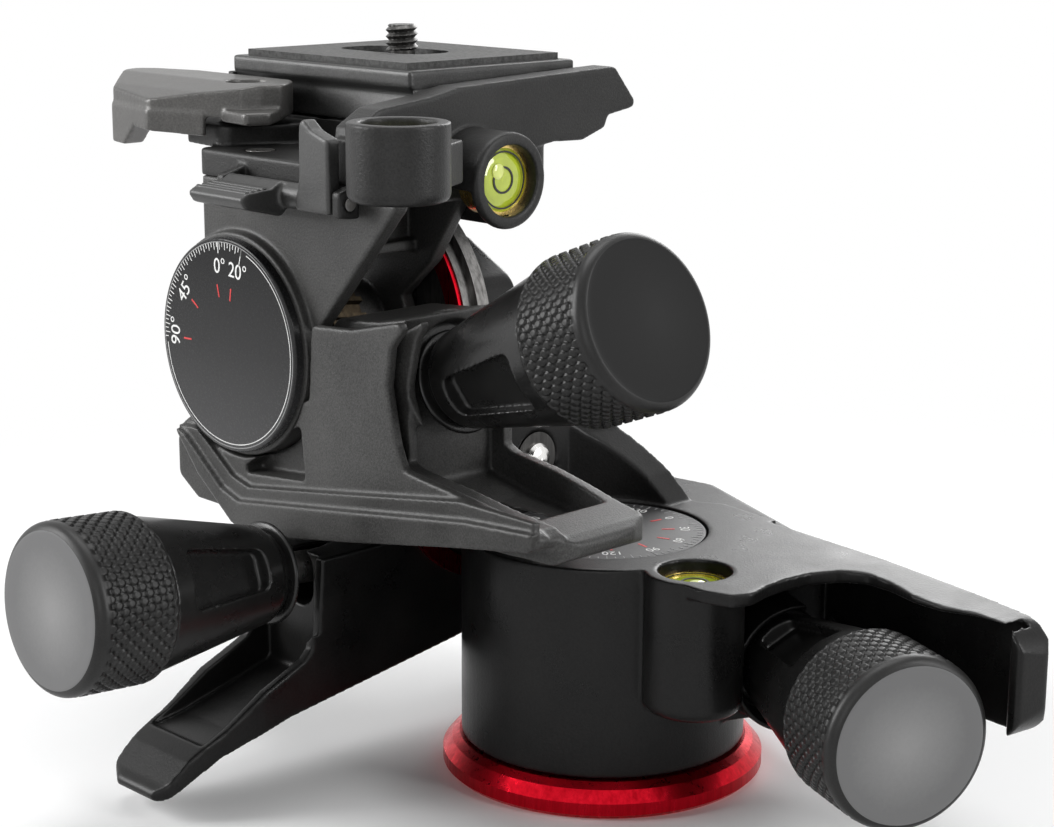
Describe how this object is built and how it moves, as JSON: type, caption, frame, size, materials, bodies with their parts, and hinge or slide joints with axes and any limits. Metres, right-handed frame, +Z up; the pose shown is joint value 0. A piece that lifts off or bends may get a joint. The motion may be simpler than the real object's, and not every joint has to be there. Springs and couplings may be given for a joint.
{
  "type": "geared tripod head",
  "caption": "Geared tripod head: worm-driven pan, lateral and front tilt stages with cone knobs and squeeze levers, bubble levels and a quick plate clamp.",
  "frame": {"origin": "bottom centre of the red base disc, on the pan axis", "axes": "+Z up along the pan axis; X along the lateral tilt axis, +X on the side of the pan knob; Y along the front tilt axis, -Y on the side of the lateral knob and the front dial; the camera looks towards -X"},
  "size_m": [0.1925, 0.1385, 0.134],
  "materials": {
    "red_anodised": "anodised satin",
    "black_casting": "satin moulded",
    "grey_casting": "fine grained powder coat",
    "knob_plastic": "satin moulded",
    "knob_rubber": "knurled soft rubber",
    "steel": "turned",
    "ring_steel": "turned and worn",
    "brass": "cut",
    "gold_ring": "polished",
    "bush_plastic": "moulded",
    "turned_aluminium": "turned",
    "dial_black": "gloss with white marks",
    "chrome_steel": "polished",
    "vial": "yellow-green liquid",
    "lever_metal": "satin gunmetal",
    "plate_metal": "grey cast",
    "pad_rubber": "grained",
    "catch_plastic": "ridged"
  },
  "bodies": {
    "base": {"base_disc": "red_anodised", "base_screws": "steel", "tripod_thread_insert": "steel", "pan_column": "turned_aluminium", "pan_wheel": "brass", "pan_dial": "dial_black", "pan_retaining_nut": "steel"},
    "pan_stage": {"pan_housing": "black_casting", "pan_column_bushes": "bush_plastic", "pan_level_vial": "vial", "pan_level_ring": "gold_ring", "pan_pivot_pin": "steel", "pan_release_spring": "steel", "lateral_wheel": "brass", "lateral_axle": "turned_aluminium", "lateral_axle_bolt": "chrome_steel"},
    "pan_carrier_body": {"pan_carrier": "bush_plastic", "pan_worm_bushes": "brass"},
    "pan_worm_body": {"pan_worm": "steel", "pan_knob": "knob_plastic", "pan_knob_grip": "knob_rubber"},
    "lateral_stage": {"lateral_housing": "black_casting", "lateral_axle_bushes": "bush_plastic", "lateral_friction_ring": "red_anodised", "lateral_pivot_pin": "steel", "lateral_release_spring": "steel", "lateral_stage_screws": "steel", "front_ring_plate": "ring_steel", "front_friction_ring": "red_anodised", "front_axle": "turned_aluminium", "front_dial": "dial_black", "tilt_housing": "grey_casting", "front_pivot_pin": "steel", "front_release_spring": "steel"},
    "lateral_carrier_body": {"lateral_carrier": "bush_plastic", "lateral_worm_bushes": "brass"},
    "lateral_worm_body": {"lateral_worm": "steel", "lateral_knob": "knob_plastic", "lateral_knob_grip": "knob_rubber"},
    "front_carrier_body": {"front_carrier": "bush_plastic", "front_worm_bushes": "brass"},
    "front_worm_body": {"front_worm": "steel", "front_knob": "knob_plastic", "front_knob_grip": "knob_rubber"},
    "plate_stage": {"tilt_bracket": "grey_casting", "front_wheel": "brass", "front_axle_bushes": "bush_plastic", "clamp_body": "grey_casting", "clamp_screws": "steel", "front_level_vial": "vial", "front_level_ring": "gold_ring", "side_level_vial": "vial", "side_level_ring": "gold_ring", "lever_pivot_screw": "steel", "catch_pin": "steel"},
    "lever": {"lock_lever": "lever_metal"},
    "catch": {"safety_catch": "catch_plastic"},
    "plate": {"quick_plate": "plate_metal", "plate_pad": "pad_rubber"},
    "screw": {"camera_screw": "steel"}
  },
  "joints": [
    {"name": "pan", "type": "hinge", "parent": "base", "child": "pan_stage", "pos_m": [0, 0, 0], "axis": [0, 0, 1], "continuous": true},
    {"name": "pan_release", "type": "hinge", "parent": "pan_stage", "child": "pan_carrier_body", "pos_m": [-0.01824, 0.03381, 0.0248], "axis": [0, 0, 1], "range_deg": [0, 2.1], "stiffness_Nm_per_rad": 1.5, "springref_deg": -8.59},
    {"name": "pan_knob_spin", "type": "hinge", "parent": "pan_carrier_body", "child": "pan_worm_body", "pos_m": [0.00938, 0.02209, 0.0248], "axis": [0.9205, -0.3907, 0], "continuous": true},
    {"name": "lateral_tilt", "type": "hinge", "parent": "pan_stage", "child": "lateral_stage", "pos_m": [0, 0, 0.055], "axis": [-1, 0, 0], "range_deg": [-20, 90]},
    {"name": "lateral_release", "type": "hinge", "parent": "lateral_stage", "child": "lateral_carrier_body", "pos_m": [-0.038, 0.02853, 0.03296], "axis": [1, 0, 0], "range_deg": [0, 2.1], "stiffness_Nm_per_rad": 1.5, "springref_deg": -8.59},
    {"name": "lateral_knob_spin", "type": "hinge", "parent": "lateral_carrier_body", "child": "lateral_worm_body", "pos_m": [-0.038, -0.0014, 0.03505], "axis": [0, -0.9976, 0.0698], "range_deg": [-640, 2880]},
    {"name": "front_tilt", "type": "hinge", "parent": "lateral_stage", "child": "plate_stage", "pos_m": [-0.0556, 0, 0.0772], "axis": [0, -1, 0], "range_deg": [-20, 90]},
    {"name": "front_release", "type": "hinge", "parent": "lateral_stage", "child": "front_carrier_body", "pos_m": [-0.07412, -0.0248, 0.05076], "axis": [0, 1, 0], "range_deg": [0, 2.1], "stiffness_Nm_per_rad": 1.5, "springref_deg": -8.59},
    {"name": "front_knob_spin", "type": "hinge", "parent": "front_carrier_body", "child": "front_worm_body", "pos_m": [-0.04912, -0.0248, 0.06041], "axis": [0.933, 0, 0.36], "range_deg": [-2520, 560]},
    {"name": "lock_lever_turn", "type": "hinge", "parent": "plate_stage", "child": "lever", "pos_m": [-0.069, -0.0271, 0.121], "axis": [0, 0, 1], "range_deg": [0, 45]},
    {"name": "safety_catch_turn", "type": "hinge", "parent": "plate_stage", "child": "catch", "pos_m": [-0.05, -0.0423, 0.107], "axis": [1, 0, 0], "range_deg": [0, 15], "stiffness_Nm_per_rad": 0.02, "springref_deg": -17.19},
    {"name": "plate_lift", "type": "slide", "parent": "plate_stage", "child": "plate", "axis": [0, -0.2425, 0.9701], "range_m": [0, 0.012]},
    {"name": "camera_screw_turn", "type": "hinge", "parent": "plate", "child": "screw", "pos_m": [-0.0589, 0.003, 0.124], "axis": [0, 0, 1], "continuous": true}
  ],
  "couplings": [
    {"joint": "pan_knob_spin", "follows": "pan", "ratio": -40},
    {"joint": "lateral_knob_spin", "follows": "lateral_tilt", "ratio": 32},
    {"joint": "front_knob_spin", "follows": "front_tilt", "ratio": -28}
  ]
}
